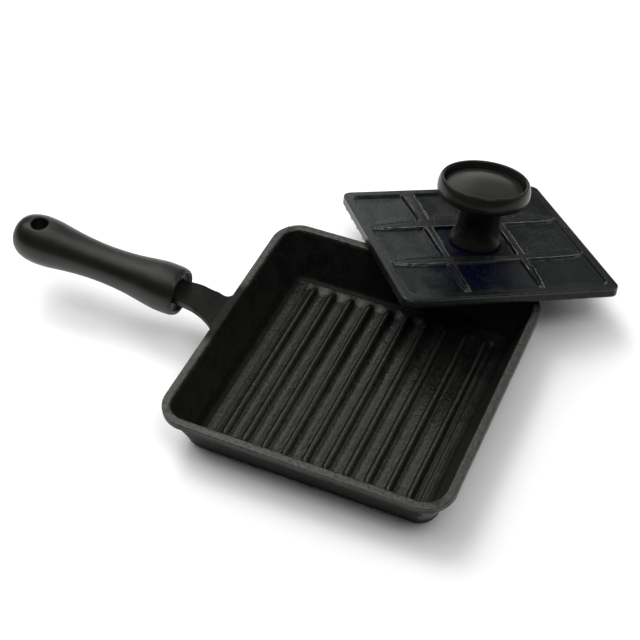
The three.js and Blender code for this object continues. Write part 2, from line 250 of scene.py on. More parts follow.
def square_solid(name, S, T, s0, top, top_sq, bottom, bottom_sq, levels, place=None):
    """Closed body between a top sheet and a bottom sheet, joined by rings: levels go from the top's
    border, excluded, to the bottom's border, excluded, as (z, half, r)."""
    A = sheet_grid(S, T, s0, *top_sq, top)
    B = sheet_grid(S, T, s0, *bottom_sq, bottom)
    nx, ny = len(S), len(T)
    border = np.array(sheet_border(nx, ny))
    n = len(border)
    verts = [A.reshape(-1, 3), B.reshape(-1, 3)]
    idx = np.arange(nx * ny).reshape(nx, ny)
    q = np.stack([idx[:-1, :-1], idx[1:, :-1], idx[1:, 1:], idx[:-1, 1:]], -1).reshape(-1, 4)
    quads = [q, q[:, ::-1] + nx * ny]
    base = 2 * nx * ny
    rings = [border]
    for z, half, r in levels:
        verts.append(ring(S, T, s0, half, r, z))
        rings.append(base + np.arange(n))
        base += n
    rings.append(border + nx * ny)
    for a, b in zip(rings[:-1], rings[1:]):
        quads.append(np.stack([a, b, np.roll(b, -1), np.roll(a, -1)], -1))
    return outward(mesh_object(name, np.vstack(verts), np.vstack(quads), place=place))


def revolve(name, profile, segments=96, place=None):
    """Closed profile of (r, z) that starts and ends on the axis, turned about Z."""
    prof = np.array(profile, float)
    inner = prof[1:-1]
    a = np.linspace(0, 2 * math.pi, segments, endpoint=False)
    ca, sa = np.cos(a), np.sin(a)
    v = np.stack([inner[:, 0, None] * ca, inner[:, 0, None] * sa, np.repeat(inner[:, 1, None], segments, 1)], -1).reshape(-1, 3)
    v = np.vstack([v, [[0, 0, prof[0, 1]], [0, 0, prof[-1, 1]]]])
    m = len(inner)
    idx = np.arange(m * segments).reshape(m, segments)
    q = np.stack([idx[:-1], np.roll(idx[:-1], -1, 1), np.roll(idx[1:], -1, 1), idx[1:]], -1).reshape(-1, 4)
    t0 = np.stack([np.full(segments, m * segments), np.roll(idx[0], -1), idx[0]], -1)
    t1 = np.stack([np.full(segments, m * segments + 1), idx[-1], np.roll(idx[-1], -1)], -1)
    return outward(mesh_object(name, v, q, np.vstack([t0, t1]), place=place))


def loop_solid(name, rows, place=None):
    """Closed tube through rows of points, each row a closed loop; the two end loops are capped."""
    rows = np.asarray(rows, float)
    m, n = rows.shape[:2]
    idx = np.arange(m * n).reshape(m, n)
    q = np.stack([idx[:-1], np.roll(idx[:-1], -1, 1), np.roll(idx[1:], -1, 1), idx[1:]], -1).reshape(-1, 4)
    return outward(mesh_object(name, rows.reshape(-1, 3), q, ngons=[idx[0][::-1], idx[-1]], place=place))


# bodies from a distance function: f(points) is negative inside


def from_distance(name, f, lo, hi, h, place=None, relax=2):
    ax = [np.arange(lo[k], hi[k] + h, h) for k in range(3)]
    G = np.stack(np.meshgrid(*ax, indexing="ij"), -1)
    shape = G.shape[:3]
    F = np.empty(shape)
    for i in range(shape[0]):
        F[i] = f(G[i].reshape(-1, 3)).reshape(shape[1:])
    del G
    F[np.abs(F) < 1e-9] = 1e-9
    cs = tuple(s - 1 for s in shape)
    total, count = np.zeros(cs + (3,)), np.zeros(cs)
    for axis in range(3):
        others = [k for k in range(3) if k != axis]
        for o1 in (0, 1):
            for o2 in (0, 1):
                off = [0, 0, 0]
                off[others[0]], off[others[1]] = o1, o2
                a = F[tuple(slice(off[k], off[k] + cs[k]) for k in range(3))]
                off2 = list(off)
                off2[axis] += 1
                b = F[tuple(slice(off2[k], off2[k] + cs[k]) for k in range(3))]
                hit = (a < 0) != (b < 0)
                t = np.where(hit, a / np.where(hit, a - b, 1), 0)
                for k in range(3):
                    total[..., k] += np.where(hit, t if k == axis else off[k], 0)
                count += hit
    on = count > 0
    number = -np.ones(cs, int)
    number[on] = np.arange(on.sum())
    cells = np.argwhere(on)
    v = (cells + total[on] / count[on][:, None]) * h + np.array([ax[k][0] for k in range(3)])
    quads = []
    for axis in range(3):
        o1, o2 = [k for k in range(3) if k != axis]
        if axis == 1:
            o1, o2 = o2, o1
        sa = [slice(1, cs[k]) for k in range(3)]
        sa[axis] = slice(0, cs[axis])
        sb = list(sa)
        sb[axis] = slice(1, cs[axis] + 1)
        a, b = F[tuple(sa)] < 0, F[tuple(sb)] < 0
        for enter in (True, False):
            at = np.argwhere((a & ~b) if enter else (~a & b))
            for k in range(3):
                if k != axis:
                    at[:, k] += 1
            c = []
            for d1, d2 in ((0, 0), (-1, 0), (-1, -1), (0, -1)):
                p = at.copy()
                p[:, o1] += d1
                p[:, o2] += d2
                c.append(number[p[:, 0], p[:, 1], p[:, 2]])
            c = np.stack(c, -1)
            quads.append(c if enter else c[:, ::-1])
    quads = np.vstack(quads)
    edges = np.vstack([quads[:, [k, (k + 1) % 4]] for k in range(4)])

    def project(v, times):
        e = 0.02
        for _ in range(times):
            val = f(v)
            g = np.stack([(f(v + np.eye(3)[k] * e) - f(v - np.eye(3)[k] * e)) / (2 * e) for k in range(3)], -1)
            step = val[:, None] * g / np.maximum((g * g).sum(1), 0.2)[:, None]
            size = np.linalg.norm(step, axis=1, keepdims=True)
            v = v - step * np.minimum(1, 0.5 * h / np.maximum(size, 1e-9))
        return v

    v = project(v, 2)
    for _ in range(relax):
        s, c = np.zeros_like(v), np.zeros(len(v))
        np.add.at(s, edges[:, 0], v[edges[:, 1]])
        np.add.at(c, edges[:, 0], 1)
        v = project(lerp(v, s / c[:, None], 0.5), 2)
    return outward(mesh_object(name, v, quads, place=place))


def smax(a, b, k):
    hh = np.clip(0.5 + 0.5 * (a - b) / k, 0, 1)
    return lerp(b, a, hh) + k * hh * (1 - hh)


def smin(a, b, k):
    return -smax(-a, -b, k)


# ---------------------------------------------------------------- materials


class Nodes:
    def __init__(self, name):
        self.mat = bpy.data.materials.new(name)
        self.mat.use_nodes = True
        self.t = self.mat.node_tree
        self.t.nodes.clear()
        self.out = self.t.nodes.new("ShaderNodeOutputMaterial")
        self.bsdf = self.t.nodes.new("ShaderNodeBsdfPrincipled")
        self.t.links.new(self.bsdf.outputs[0], self.out.inputs[0])
        self.co = self.t.nodes.new("ShaderNodeTexCoord").outputs["Object"]

    def link(self, a, b):
        if isinstance(a, (int, float)):
            b.default_value = a
        elif isinstance(a, tuple):
            b.default_value = a if len(a) != 3 or b.type == "VECTOR" else (*a, 1.0)
        else:
            self.t.links.new(a, b)

    def noise(self, size_mm, detail=3.0, rough=0.55, stretch=None, distortion=0.0):
        n = self.t.nodes.new("ShaderNodeTexNoise")
        n.inputs["Scale"].default_value = 1000.0 / size_mm
        n.inputs["Detail"].default_value = detail
        n.inputs["Roughness"].default_value = rough
        n.inputs["Distortion"].default_value = distortion
        co = self.co
        if stretch is not None:
            m = self.t.nodes.new("ShaderNodeMapping")
            m.inputs["Scale"].default_value = stretch
            self.t.links.new(co, m.inputs["Vector"])
            co = m.outputs[0]
        self.t.links.new(co, n.inputs["Vector"])
        return n.outputs[0]

    def cells(self, size_mm, feature="F1", randomness=1.0):
        n = self.t.nodes.new("ShaderNodeTexVoronoi")
        n.feature = feature
        n.inputs["Scale"].default_value = 1000.0 / size_mm
        n.inputs["Randomness"].default_value = randomness
        self.t.links.new(self.co, n.inputs["Vector"])
        return n.outputs[0]

    def range(self, x, a, b, c, d, smoothly=False):
        n = self.t.nodes.new("ShaderNodeMapRange")
        n.interpolation_type = "SMOOTHSTEP" if smoothly else "LINEAR"
        self.link(x, n.inputs[0])
        for k, val in zip((1, 2, 3, 4), (a, b, c, d)):
            self.link(val, n.inputs[k])
        return n.outputs[0]

    def math(self, op, a, b=0.0, c=0.0):
        n = self.t.nodes.new("ShaderNodeMath")
        n.operation = op
        for k, val in enumerate((a, b, c)):
            self.link(val, n.inputs[k])
        return n.outputs[0]

    def mix(self, f, a, b):
        n = self.t.nodes.new("ShaderNodeMix")
        n.data_type = "RGBA"
        self.link(f, n.inputs[0])
        self.link(a, n.inputs[6])
        self.link(b, n.inputs[7])
        return n.outputs[2]

    def attr(self, name):
        n = self.t.nodes.new("ShaderNodeAttribute")
        n.attribute_name = name
        return n.outputs["Fac"]

    def bump(self, height, distance_mm, strength=1.0, under=None):
        n = self.t.nodes.new("ShaderNodeBump")
        n.inputs["Strength"].default_value = strength
        n.inputs["Distance"].default_value = distance_mm * MM
        self.link(height, n.inputs["Height"])
        if under is not None:
            self.link(under, n.inputs["Normal"])
        return n.outputs[0]

    def set(self, **kw):
        for key, val in kw.items():
            self.link(val, self.bsdf.inputs[key.replace("_", " ")])
        return self.mat


def cast_iron(name, dark, light, rough=(0.40, 0.56), grain=1.0, wear_and_highlight_colour=(0.075, 0.078, 0.074), sheen_mm=9.0, spec=0.5, dull=(0.16, 0.2), tint=None,
              shine=(0.97, 1.0, 0.90)):
    """Seasoned sand-cast iron: pebbled grain, oily patches, edges lighter from wear and from painted edge highlights,
    sooty where it is dull, and duller where the soot attribute carries painted shade.
    """
    m = Nodes(name)
    fine = m.noise(0.8, 4.0, 0.65)
    pebble = m.noise(2.0, 3.0, 0.65)
    patch = m.noise(sheen_mm, 4.0, 0.6, distortion=0.6)
    broad = m.noise(42.0, 3.0, 0.5)
    wear_and_painted_highlight = m.attr("wear_and_painted_highlight")
    soot_and_painted_shade = m.attr("soot_and_painted_shade")
    colour = m.mix(m.range(patch, 0.3, 0.7, 0.0, 1.0, True), dark, light)
    if tint is not None:
        colour = m.mix(m.attr(tint[0]), colour, tint[1])
    specks = m.range(pebble, 0.52, 0.72, 0.0, 0.55, True)
    colour = m.mix(specks, colour, tuple(min(1.0, c * 2.1) for c in light))
    wear_and_highlight_amount = m.math("MULTIPLY", wear_and_painted_highlight, m.range(pebble, 0.34, 0.62, 0.25, 1.0, True))
    colour = m.mix(wear_and_highlight_amount, colour, wear_and_highlight_colour)
    r = m.range(patch, 0.3, 0.72, rough[0], rough[1])
    r = m.math("ADD", r, m.range(fine, 0.3, 0.7, -0.05, 0.06))
    r = m.math("ADD", r, m.range(broad, 0.35, 0.65, -0.03, 0.03))
    r = m.math("ADD", r, m.math("MULTIPLY", soot_and_painted_shade, dull[1]))
    n1 = m.bump(pebble, 0.28 * grain)
    n2 = m.bump(fine, 0.10 * grain, under=n1)
    n3 = m.bump(patch, 0.12 * grain, under=n2)
    m.set(Base_Color=colour, Roughness=r, Normal=n3)
    m.link(m.range(soot_and_painted_shade, 0.0, 1.0, spec, dull[0]), m.bsdf.inputs["Specular IOR Level"])
    m.link(shine, m.bsdf.inputs["Specular Tint"])
    m.bsdf.inputs["Metallic"].default_value = 0.0
    return m.mat


def phenolic(name, dark, light, rough=(0.34, 0.44), grain=1.0, spec=0.5, wear_and_highlight_colour=(0.05, 0.05, 0.048), shine=(0.98, 1.0, 0.91)):
    """Moulded black phenolic: faint orange-peel, handling marks, flow mottling, rubbed edges and painted edge
    highlights.
    """
    m = Nodes(name)
    peel = m.noise(1.6, 2.0, 0.5)
    fine = m.noise(0.35, 3.0, 0.6)
    flow = m.noise(14.0, 4.0, 0.55, distortion=1.4)
    rub = m.noise(5.0, 5.0, 0.65, stretch=(1.0, 2.2, 1.6))
    wear_and_painted_highlight = m.attr("wear_and_painted_highlight")
    colour = m.mix(m.range(flow, 0.3, 0.7, 0.0, 1.0, True), dark, light)
    dust = m.range(fine, 0.62, 0.78, 0.0, 0.35, True)
    colour = m.mix(dust, colour, tuple(min(1.0, c * 1.9) for c in light))
    colour = m.mix(m.math("MULTIPLY", wear_and_painted_highlight, 0.7), colour, wear_and_highlight_colour)
    r = m.range(rub, 0.3, 0.7, rough[0], rough[1])
    r = m.math("ADD", r, m.range(fine, 0.3, 0.7, -0.025, 0.025))
    n1 = m.bump(peel, 0.035 * grain)
    n2 = m.bump(fine, 0.012 * grain, under=n1)
    m.set(Base_Color=colour, Roughness=r, Normal=n2)
    m.bsdf.inputs["Specular IOR Level"].default_value = spec
    m.link(shine, m.bsdf.inputs["Specular Tint"])
    return m.mat


def steel(name, colour, rough=(0.26, 0.42)):
    """Plated fastener steel: turning marks, dull spots and a slight yellow-blue shift."""
    m = Nodes(name)
    fine = m.noise(0.12, 3.0, 0.6, stretch=(1.0, 1.0, 6.0))
    spots = m.noise(1.3, 4.0, 0.6)
    c = m.mix(m.range(spots, 0.35, 0.65, 0.0, 1.0, True), colour, tuple(x * k for x, k in zip(colour, (0.80, 0.78, 0.70))))
    m.set(Base_Color=c, Roughness=m.range(spots, 0.3, 0.7, rough[0], rough[1]), Normal=m.bump(fine, 0.006))
    m.bsdf.inputs["Metallic"].default_value = 1.0
    return m.mat


def give(ob, mat):
    if ob.data.materials:
        for s in ob.material_slots:
            s.link = "OBJECT"
            s.material = mat
    else:
        ob.data.materials.append(mat)


# --------------------------------------------------------------- dimensions
# The CAD's own, in millimetres.

PAN_H = round(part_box("pan")[0].z * 1000, 3) + 28.0
RIM_HALF, RIM_R = 75.0, 15.2
LIP_H = 3.7
WALL_TOP, WALL_FOOT, FOOT_R = 72.5, 66.0, 4.5
MOUTH_HALF, MOUTH_R = 70.9, 11.2
FLOOR_HALF, FLOOR_Z, FLOOR_R = 61.6, 2.8, 6.0
RIB_PITCH, RIBS, RIB_HALF_LEN = 10.9, 10, 54.5

HANDLE_X, HANDLE_Z, RISE = -75.0, 30.0, math.radians(5.06)
TANG_W, TANG_T, TANG_END = 14.2, 5.2, 60.0
GRIP_START, GRIP_LEN = 22.6, 98.2
HANG_AT, HANG_R = 83.2, 4.3
GRIP_SCREW_AT, SCREW_R, SCREW_HEAD_R = 22.0, 2.45, 4.4

PRESS_TURN, PRESS_TIP = math.radians(38.35), math.radians(-16.4)
PRESS_AT = (25.79, 100.95, 27.56)

U_DIR = np.array([-math.cos(RISE), 0, math.sin(RISE)])
U_UP = np.array([math.sin(RISE), 0, math.cos(RISE)])
HANDLE_PLACE = np.eye(4)
HANDLE_PLACE[:3, 0], HANDLE_PLACE[:3, 1], HANDLE_PLACE[:3, 2] = U_DIR, (0, -1, 0), U_UP
HANDLE_PLACE[:3, 3] = np.array([HANDLE_X, 0, HANDLE_Z]) + U_DIR * GRIP_START
PRESS_PLACE = np.array(Matrix.Translation(PRESS_AT) @ Matrix.Rotation(PRESS_TIP, 4, "X") @ Matrix.Rotation(PRESS_TURN, 4, "Z"))

# ---------------------------------------------------------------------- pan

BEAD_W, BEAD_H, VALLEY = 2.15, 1.70, 1.35


def floor_height(x, y):
    """Pan floor: beads at the pitch, each with a hollow beside it that is deepest on the bead's right."""
    shifted = x - 0.9 * smooth((60.5 - np.abs(x)) / 4.0)
    phi = (shifted + RIB_PITCH * 100.5) % RIB_PITCH         # from a bead's crest to the next
    c = np.minimum(phi, RIB_PITCH - phi)                    # distance from the nearest crest
    on = smooth((RIB_PITCH * RIBS / 2 + 0.4 - np.abs(shifted)) / 1.6)
    e = np.clip((np.abs(y) - (RIB_HALF_LEN - 3.2)) / 4.2, 0, 1)
    rr = np.clip(1 - (np.clip(c / BEAD_W, 0, 1) ** 2.1 + e ** 2.1), 0, 1)
    bead = BEAD_H * rr ** 0.9 * (np.abs(shifted) < RIB_PITCH * RIBS / 2)
    psi = (phi / RIB_PITCH) ** 0.726
    hollow = VALLEY * (0.5 - 0.5 * np.cos(2 * math.pi * psi)) * smooth((58.3 - np.abs(y)) / 6.5) * on
    return FLOOR_Z + 0.12 + bead - hollow - 0.12 * smooth((np.abs(x) - 55) / 3)


def build_pan():
    s0 = 0.955
    half0, r0 = 58.6, 3.4
    k = ((half0 - r0) / s0 + 0.293 * r0)
    n_arc = 9
    xs = lines([(0, s0 * k, 0.40)], half0) / k
    ys = lines([(0, 50.0, 0.95), (50.0, s0 * k, 0.45)], half0) / k
    ends = np.linspace(s0, 1, n_arc + 1)[1:]
    S = np.concatenate([-ends[::-1], xs, ends])
    T = np.concatenate([-ends[::-1], ys, ends])

    wall = (MOUTH_HALF - FLOOR_HALF) / (PAN_H - FLOOR_Z - 3.0)            # outward per up
    lean = math.degrees(math.atan(wall))
    top = 90 - lean
    R = (FLOOR_HALF - 3.0 * wall - half0) / math.tan(math.radians(top / 2))
    levels = []
    for a in np.linspace(0, top, 10)[1:]:
        levels.append((FLOOR_Z + R - R * math.cos(math.radians(a)), half0 + R * math.sin(math.radians(a)), None))
    z1, h1, _ = levels[-1]
    # inner edge of the rim: rounded from the wall to the top
    r_in = 1.0
    h_top = h1 + (PAN_H - z1) * wall
    tl = r_in * math.tan(math.radians(top / 2))
    zc, hc = PAN_H - r_in, h_top + tl
    start = np.array([hc - r_in * math.cos(math.radians(lean)), zc + r_in * math.sin(math.radians(lean))])
    for t in np.linspace(0, 1, 15)[1:-1]:
        levels.append((lerp(z1, start[1], t), lerp(h1, start[0], t), None))
    for a in np.linspace(180 - lean, 90, 7):
        levels.append((zc + r_in * math.sin(math.radians(a)), hc + r_in * math.cos(math.radians(a)), None))
    # rim top with a slight crown, outer edge, lip, undercut, wall, foot
    r_out = 0.75
    for t in (0.25, 0.5, 0.75):
        levels.append((PAN_H, lerp(hc, RIM_HALF - r_out, t), None))
    for a in np.linspace(90, 0, 7):
        levels.append((PAN_H - r_out + r_out * math.sin(math.radians(a)), RIM_HALF - r_out + r_out * math.cos(math.radians(a)), None))
    zl = PAN_H - LIP_H
    for t in (0.35, 0.7):
        levels.append((lerp(PAN_H - r_out, zl + 0.7, t), RIM_HALF - 0.06 * t, None))
    for a in np.linspace(0, -80, 6):
        levels.append((zl + 0.7 + 0.7 * math.sin(math.radians(a)), RIM_HALF - 0.76 + 0.7 * math.cos(math.radians(a)), None))
    levels.append((zl - 0.02, 73.6, None))
    for a in np.linspace(90, 175, 6):
        levels.append((zl - 0.9 + 0.88 * math.sin(math.radians(a)), 73.25 + 0.88 * math.cos(math.radians(a)), None))
    zt, ht = levels[-1][0], levels[-1][1]
    for t in np.linspace(0, 1, 11)[1:]:
        levels.append((lerp(zt, FOOT_R, t), lerp(ht, WALL_FOOT, t), None))
    out = math.degrees(math.atan((ht - WALL_FOOT) / (zt - FOOT_R)))
    for a in np.linspace(out, 90, 10)[1:]:
        f = (a - out) / (90 - out)
        levels.append((FOOT_R * (1 - math.sin(math.radians(f * 90))), WALL_FOOT - FOOT_R * (1 - math.cos(math.radians(f * 90))), None))
    done = []
    turned_over = False
    for z, half, _ in levels:
        if half > 73.9:
            turned_over = True
        if not turned_over:
            r = float(np.interp(half, [half0, FLOOR_HALF, 71.6, 74.0], [r0, FLOOR_R, MOUTH_R + 0.7, 14.2]))
        else:
            r = float(np.interp(half, [60.5, 61.5, WALL_FOOT, WALL_TOP, 73.3, RIM_HALF - 0.7, RIM_HALF], [5.2, 5.8, 9.6, 12.8, 13.4, 14.5, RIM_R]))
        done.append((z, half, r))
    low = done[-1]
    for half in (58.5, 56.0):
        done.append((0.0, half, 4.0))
    flat = lambda x, y: np.zeros_like(x)
    pan = square_solid("pan_casting", S, T, s0, floor_height, (half0, r0), flat, (52.0, 3.0), done)
    return pan


def build_tang():
    mid = curve([(-64, 24.9), (-72, 25.2), (-76, 25.55), (-80, 26.8), (-84.5, 28.55), (-89.5, 30.35), (-97.5, 31.99), (-134.8, 35.31)], 10)
    zmid = lambda x: np.interp(x, mid[::1, 0][::-1], mid[::1, 1][::-1])
    r = 1.25
    w0 = TANG_W / 2
    rows = []
    a_end = 14.3
    x_e = -74.7                                             # where the flare meets the rim
    outline = [(x, w0, 0.0, -1.0, x) for x in np.concatenate([[-134.7], np.linspace(-132, -x_e * -1 - a_end, 26)])]
    for ph in np.linspace(0, 90, 30)[1:]:
        p = math.radians(ph)
        x = x_e - a_end + a_end * math.sin(p)
        y = w0 + 7.6 - 7.6 * math.cos(p)
        tx, ty = a_end * math.cos(p), 7.6 * math.sin(p)
        L = math.hypot(tx, ty)
        outline.append((x, y, ty / L, -tx / L, x_e - a_end + (a_end + 2.6) * ph / 90))
    outline.append((x_e + 1.3, w0 + 7.9, 1.0, 0.0, -71.9))
    for x, y, nx, ny, xc in outline:
        half = []
        edge = []
        for a in np.linspace(90, 0, 8):
            edge.append((r * (1 - math.cos(math.radians(a))), TANG_T / 2 - r + r * math.sin(math.radians(a))))
        for t in (0.5,):
            edge.append((0.0, 0.0))
        for a in np.linspace(0, -90, 8):
            edge.append((r * (1 - math.cos(math.radians(a))), -TANG_T / 2 + r + r * math.sin(math.radians(a))))
        pts = [(x + nx * d, y + ny * d, zo) for d, zo in edge]
        first, last = pts[0], pts[-1]
        inner = [(lerp(xc, first[0], t), lerp(0, first[1], t), first[2]) for t in (0.0, 0.2, 0.4, 0.6, 0.8)]
        outer = [(lerp(xc, last[0], t), lerp(0, last[1], t), last[2]) for t in (0.8, 0.6, 0.4, 0.2, 0.0)]
        half = np.array(inner + pts + outer)
        top = half[:, 2] > 0
        zz = zmid(half[:, 0]) + half[:, 2]
        zz = np.where(top, np.minimum(zz, np.where(half[:, 0] > -76.5, PAN_H - 0.05, 1e9)), zz)
        h = np.column_stack([half[:, 0], half[:, 1], zz])
        mirror = h[1:-1][::-1] * np.array([1, -1, 1])
        rows.append(np.vstack([h, mirror]))
    return loop_solid("tang", rows)


def place_up(mat, at):
    m = mat.copy()
    m[:3, 3] = mat[:3, 3] + mat[:3, :3] @ np.array(at, float)
    return m


pan = build_pan()
tang = build_tang()
pan = combine(pan, tang, "UNION")
bore = revolve("bore", [(0, -7), (SCREW_R + 0.3, -7), (SCREW_R + 0.3, 7), (0, 7)], 40, place=place_up(HANDLE_PLACE, (GRIP_SCREW_AT, 0, 0)))
pan = combine(pan, bore, "DIFFERENCE")

co = coords(pan) / MM
lift = uneven(co, 38.0, 0.4) * 0.05 + uneven(co, 11.0, 1.9) * 0.03
q = np.maximum(np.abs(co[:, 0]), np.abs(co[:, 1]))
inside = (co[:, 2] > 0.5) & (co[:, 2] < PAN_H - 0.2) & (q < 74.0) & (co[:, 0] > -74)
floor_in = inside & (q < 61.5) & (co[:, 2] < FLOOR_Z + 6) & (co[:, 2] > 0.9)
lift = lift + np.where(floor_in, 0.065 * grit(co, 2.3, 1) + 0.040 * grit(co, 1.2, 2), 0)
co[inside, 2] += lift[inside]
rim_top = (co[:, 2] > PAN_H - 0.9) & (q > 70.5) & (q < 74.9)
co[rim_top, 2] += -0.05 + 0.045 * grit(co[rim_top], 2.6, 3)
skin = inside & ~floor_in & (q > 60)
co[skin, 0] += 0.05 * grit(co[skin], 2.8, 4)
co[skin, 1] += 0.05 * grit(co[skin], 2.8, 5)
# the neck's back fillet runs further along the neck than its front one
neck = (co[:, 0] < -76.2) & (co[:, 0] > -101) & (co[:, 1] > 0.2)
reach = 2.1 * smooth((co[:, 0] + 100) / 12) * smooth((-76.2 - co[:, 0]) / 6)
co[neck, 1] += (reach * np.clip(co[:, 1] / 6.5, 0, 1))[neck]
free = (co[:, 2] > 0.6) & (q < 74.6)
co[free, 0] += lift[free] * 0.8
co[free, 1] += uneven(co[free], 30.0, 2.2) * 0.05
pan.data.vertices.foreach_set("co", (co * MM).astype(np.float32).ravel())
pan.data.update()

co = coords(pan) / MM
q = np.maximum(np.abs(co[:, 0]), np.abs(co[:, 1]))
rim = smooth((co[:, 2] - (PAN_H - 1.3)) / 1.1) * smooth((q - 69.5) / 1.2)
crest = smooth((co[:, 2] - (FLOOR_Z + 1.35)) / 0.6) * (q < 57.5)
wall_out = smooth((PAN_H - 0.9 - co[:, 2]) / 0.7) * ((q > 72.2) | (q > 57.5 + 0.18 * co[:, 2]) & (co[:, 2] < 8) | (q > 66.0 + 0.30 * (co[:, 2] - 4.5)))
lip_low = smooth(1 - np.abs(co[:, 2] - (PAN_H - LIP_H + 0.4)) / 0.7) * smooth((q - 74.2) / 0.5)
foot = smooth(1 - np.abs(co[:, 2] - 1.0) / 1.6) * (q > 58)
on_tang = co[:, 0] < -76
edge_t = smooth((np.abs(co[:, 1]) - (TANG_W / 2 - 0.9)) / 0.6) * (co[:, 0] < -88)
by_neck = smooth((24 - np.abs(co[:, 1])) / 7) * (co[:, 0] < -69)
# tang: the lighter colour and the lower soot only on its front edge (y < 0) are a painted highlight along that edge;
# next to the neck the rim loses its wear and is made duller
attribute(pan, "wear_and_painted_highlight", (1 - by_neck) * np.where(on_tang, 0.30 * edge_t * (co[:, 1] < 0), 1.0 * rim + 0.50 * crest + 0.25 * lip_low + 0.2 * foot))
attribute(pan, "soot_and_painted_shade", np.maximum(0.85 * by_neck * (co[:, 0] > -76.5), 0) + np.where(on_tang, 0.75 - 0.5 * edge_t * (co[:, 1] < 0), np.where(wall_out > 0, wall_out * np.where(co[:, 2] > PAN_H - LIP_H, 0.75, 1.0), 0)))
shade(pan, 40)

PAN_IRON = cast_iron("pan_iron", (0.0036, 0.0037, 0.0034), (0.0070, 0.0072, 0.0067), rough=(0.27, 0.38), wear_and_highlight_colour=(0.040, 0.042, 0.038))
give(pan, PAN_IRON)
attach(pan, "pan_body")
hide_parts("pan")

# -------------------------------------------------------------- handle grip

GRIP_PROFILE = [
    (0.9, 12.3), (2.0, 12.75), (3.6, 12.95), (8, 13.08), (12, 12.98), (18, 12.25), (24, 11.35), (31, 10.5), (38, 10.05), (45, 9.88),
    (52, 10.05), (60, 10.65), (68, 11.6), (75, 12.6), (80, 13.0), (84, 13.0), (88, 12.5), (92, 11.2), (95, 9.2), (96.9, 6.6),
    (97.8, 3.6), (98.1, 0.0)]


def grip_distance():
    outer = curve(GRIP_PROFILE, 8)
    lip = np.array([(2.6, 0.0), (2.6, 9.3), (2.3, 9.85), (1.7, 10.2), (1.1, 10.45), (0.55, 10.75), (0.18, 11.15), (0.02, 11.55), (0.2, 11.95), (0.5, 12.15)])
    poly = np.vstack([curve(lip, 6), outer[1:]])
    hx = 0.1
    gx, gr = np.arange(-2, 104, hx), np.arange(0, 16, hx)
    P = np.stack(np.meshgrid(gx, gr, indexing="ij"), -1).reshape(-1, 2)
    best = np.full(len(P), 1e9)
    closed = np.vstack([poly, poly[:0]])
    for a, b in zip(closed[:-1], closed[1:]):
        ab = b - a
        t = np.clip(((P - a) @ ab) / max(ab @ ab, 1e-12), 0, 1)
        d = ((P - a - t[:, None] * ab) ** 2).sum(1)
        best = np.minimum(best, d)
    d = np.sqrt(best)
    # even-odd test with the profile closed along the axis
    inside = np.zeros(len(P), bool)
    full = np.vstack([poly, [poly[0]]])
    for a, b in zip(full[:-1], full[1:]):
        hit = ((a[1] > P[:, 1]) != (b[1] > P[:, 1]))
        with np.errstate(divide="ignore", invalid="ignore"):
            xx = a[0] + (P[:, 1] - a[1]) * (b[0] - a[0]) / (b[1] - a[1])
        inside ^= hit & (P[:, 0] < xx)
    table = np.where(inside, -d, d).reshape(len(gx), len(gr))

    def turned(p):
        x = (p[:, 0] - gx[0]) / hx
        r = np.hypot(p[:, 1], p[:, 2]) / hx
        i = np.clip(x.astype(int), 0, len(gx) - 2)
        j = np.clip(r.astype(int), 0, len(gr) - 2)
        fx, fr = np.clip(x - i, 0, 1), np.clip(r - j, 0, 1)
        return ((table[i, j] * (1 - fx) + table[i + 1, j] * fx) * (1 - fr)
                + (table[i, j + 1] * (1 - fx) + table[i + 1, j + 1] * fx) * fr)

    def f(p):
        body = turned(p)
        # hang hole, flared to both faces
        hole = np.hypot(p[:, 0] - HANG_AT, p[:, 1]) - HANG_R
        body = smax(body, -hole, 1.5)
        # slot for the tang
        qx, qy, qz = p[:, 0] - (TANG_END - GRIP_START + 0.3), np.abs(p[:, 1]) - (TANG_W / 2 + 0.3), np.abs(p[:, 2]) - (TANG_T / 2 + 0.3)
        slot = np.maximum(np.maximum(qx, qy), qz)
        body = smax(body, -slot, 0.35)
        # screw hole and head recess, from below
        rr = np.hypot(p[:, 0] - GRIP_SCREW_AT, p[:, 1])
        shank = np.maximum(rr - (SCREW_R + 0.3), p[:, 2])
        head = np.maximum(rr - (SCREW_HEAD_R + 0.8), p[:, 2] + 7.4)
        body = smax(body, -shank, 0.2)
        body = smax(body, -head, 0.8)
        return body

    return f


grip = from_distance("grip_moulding", grip_distance(), (-0.9, -13.8, -13.8), (99.1, 13.8, 13.8), 0.42, place=HANDLE_PLACE)
inv = np.linalg.inv(HANDLE_PLACE)
g = coords(grip) / MM @ inv[:3, :3].T + inv[:3, 3]
rho = np.hypot(g[:, 1], g[:, 2])
hole_d = np.hypot(g[:, 0] - HANG_AT, g[:, 1]) - HANG_R
attribute(grip, "wear_and_painted_highlight", 0.5 * smooth(1 - np.abs(hole_d - 0.9) / 1.2) + 0.3 * smooth(1 - np.abs(g[:, 0] - 0.2) / 0.5) * (rho > 10))
shade(grip, 55)
GRIP_MAT = phenolic("grip_phenolic", (0.0042, 0.0044, 0.0041), (0.0070, 0.0073, 0.0068), rough=(0.34, 0.43), spec=0.42, wear_and_highlight_colour=(0.02, 0.02, 0.019))
give(grip, GRIP_MAT)
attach(grip, "pan_body")
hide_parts("handle_grip")

# -------------------------------------------------------------- press plate

PLATE_HALF, PLATE_R, PLATE_T = 58.45, 5.0, 5.2
RECESS_HALF, RECESS_R, RECESS_D = 53.9, 4.2, 1.35
SEAR_PITCH, SEAR_W, SEAR_H, SEAR_HALF = 11.0, 2.05, 1.6, 57.6


def square_distance(x, y, half, r):
    qx, qy = np.abs(x) - (half - r), np.abs(y) - (half - r)
    return np.hypot(np.maximum(qx, 0), np.maximum(qy, 0)) + np.minimum(np.maximum(qx, qy), 0) - r


